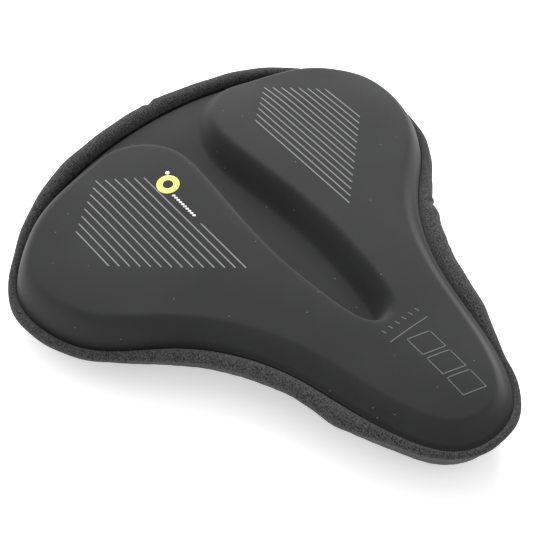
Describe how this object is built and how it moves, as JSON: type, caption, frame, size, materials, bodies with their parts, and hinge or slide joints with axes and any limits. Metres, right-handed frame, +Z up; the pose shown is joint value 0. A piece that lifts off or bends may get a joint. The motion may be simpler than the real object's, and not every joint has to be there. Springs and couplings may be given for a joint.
{
  "type": "padded bicycle saddle cover",
  "caption": "Padded slip-on saddle cover with two rear lobes, a central relief channel, a rolled knit skirt with an elastic hem, and peel-open straps underneath.",
  "frame": {"origin": "centre of the footprint, on the surface that the hem lies on", "axes": "+X towards the nose, +Y to the rider's left, +Z up"},
  "size_m": [0.2789, 0.2628, 0.0503],
  "materials": {
    "top_fabric": "matt stretch knit laminate",
    "memory_foam": "open-cell slow foam",
    "support_foam": "open-cell foam",
    "lining": "fine warp knit",
    "silicone": "satin silicone",
    "label": "blank satin ribbon",
    "skirt_knit": "heather knit",
    "thread": "polyester thread",
    "hem_tape": "woven binding tape",
    "elastic": "braided elastic",
    "grey_print": "matt transfer film",
    "lime_print": "matt transfer film",
    "white_print": "matt transfer film",
    "webbing": "woven webbing",
    "ring_plastic": "moulded, satin",
    "hook_tape": "hook tape",
    "loop_tape": "brushed loop tape"
  },
  "bodies": {
    "cover": {"top_panel": "top_fabric", "memory_foam_pad": "memory_foam", "support_foam_pad": "support_foam", "base_lining": "lining", "grip_dots": "silicone", "care_label": "label", "skirt": "skirt_knit", "back_seam_stitches": "thread", "top_seam_thread": "thread", "hem_binding": "hem_tape", "hem_elastic": "elastic", "left_stripe_print": "grey_print", "right_stripe_print": "grey_print", "rear_emblem_print": "lime_print", "rear_bar_print": "white_print", "nose_print": "grey_print", "strap_bar_tacks": "thread", "rear_strap": "webbing", "rear_ring_tab": "webbing", "rear_ring": "ring_plastic", "rear_loop_patch": "loop_tape", "front_strap": "webbing", "front_ring_tab": "webbing", "front_ring": "ring_plastic", "front_loop_patch": "loop_tape"},
    "rear_tail": {"rear_strap_tail": "webbing", "rear_hook_patch": "hook_tape"},
    "front_tail": {"front_strap_tail": "webbing", "front_hook_patch": "hook_tape"}
  },
  "joints": [
    {"name": "rear_strap_peel", "type": "hinge", "parent": "cover", "child": "rear_tail", "pos_m": [-0.0682, 0.08603, 0.00055], "axis": [1, 0, 0], "range_deg": [0, 150]},
    {"name": "front_strap_peel", "type": "hinge", "parent": "cover", "child": "front_tail", "pos_m": [0.0548, 0.00544, 0.00055], "axis": [1, 0, 0], "range_deg": [0, 150]}
  ]
}
